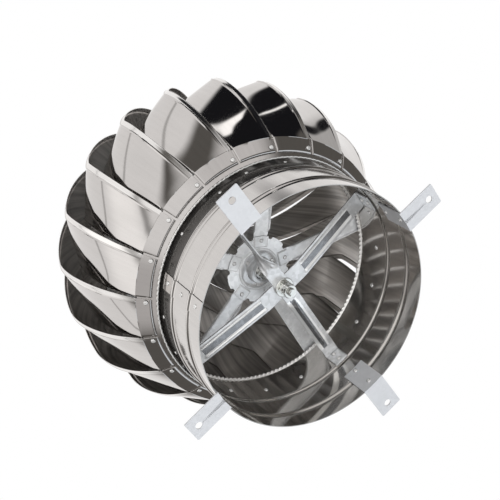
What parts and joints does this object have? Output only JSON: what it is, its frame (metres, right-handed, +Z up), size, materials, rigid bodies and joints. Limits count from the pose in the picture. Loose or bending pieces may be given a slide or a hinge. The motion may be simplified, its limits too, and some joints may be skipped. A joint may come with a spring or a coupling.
{
  "type": "roof turbine ventilator",
  "caption": "Wind-driven roof turbine ventilator: a ring of curved overlapping blades on a spider and spindle above a round beaded throat with four bent mounting tabs.",
  "frame": {"origin": "centre of the throat at the level of the mounting tabs' undersides, on the rotor's axis", "axes": "+Z up along the spindle from the throat to the cap; +X through the mounting tab beside the flat half of the twisted brace; +Y through the mounting tab at one end of the flat brace"},
  "size_m": [0.436, 0.436, 0.367],
  "materials": {
    "mirror_stainless": "polished stainless sheet",
    "rivet_steel": "bright rivet",
    "galvanised_tab": "matt galvanised",
    "galvanised_strip": "bright galvanised",
    "bearing_steel": "ground bearing steel",
    "zinc_fastener": "bright zinc plated"
  },
  "bodies": {
    "base": {"brace_flat": "galvanised_strip", "brace_nut": "zinc_fastener", "brace_rivets": "rivet_steel", "brace_twisted": "galvanised_strip", "clamp_nut": "zinc_fastener", "clamp_washer": "zinc_fastener", "collar_rivets": "rivet_steel", "hub_nut": "zinc_fastener", "jam_nut": "zinc_fastener", "lower_inner_ring": "bearing_steel", "mounting_tab_1": "galvanised_tab", "mounting_tab_2": "galvanised_tab", "mounting_tab_3": "galvanised_tab", "mounting_tab_4": "galvanised_tab", "seam_rivets": "rivet_steel", "spindle": "zinc_fastener", "tab_rivets": "rivet_steel", "throat_duct": "mirror_stainless", "top_nut": "zinc_fastener", "upper_inner_ring": "bearing_steel"},
    "rotor": {"arm_rivets": "rivet_steel", "blade_01": "mirror_stainless", "blade_02": "mirror_stainless", "blade_03": "mirror_stainless", "blade_04": "mirror_stainless", "blade_05": "mirror_stainless", "blade_06": "mirror_stainless", "blade_07": "mirror_stainless", "blade_08": "mirror_stainless", "blade_09": "mirror_stainless", "blade_10": "mirror_stainless", "blade_11": "mirror_stainless", "blade_12": "mirror_stainless", "blade_13": "mirror_stainless", "blade_14": "mirror_stainless", "blade_15": "mirror_stainless", "blade_16": "mirror_stainless", "blade_17": "mirror_stainless", "blade_18": "mirror_stainless", "blade_19": "mirror_stainless", "blade_20": "mirror_stainless", "blade_foot_rivets": "rivet_steel", "blade_top_rivets": "rivet_steel", "cap": "mirror_stainless", "cup_rivets": "rivet_steel", "hub_plate": "galvanised_strip", "lower_bearing_cup": "galvanised_strip", "lower_outer_ring": "bearing_steel", "rotor_ring": "mirror_stainless", "spider_arm_1": "galvanised_strip", "spider_arm_2": "galvanised_strip", "spider_arm_3": "galvanised_strip", "spider_arm_4": "galvanised_strip", "spider_arm_5": "galvanised_strip", "upper_bearing_cup": "galvanised_strip", "upper_outer_ring": "bearing_steel"}
  },
  "joints": [
    {"name": "rotor_spin", "type": "hinge", "parent": "base", "child": "rotor", "pos_m": [0, 0, 0.1305], "axis": [0, 0, 1], "continuous": true}
  ]
}
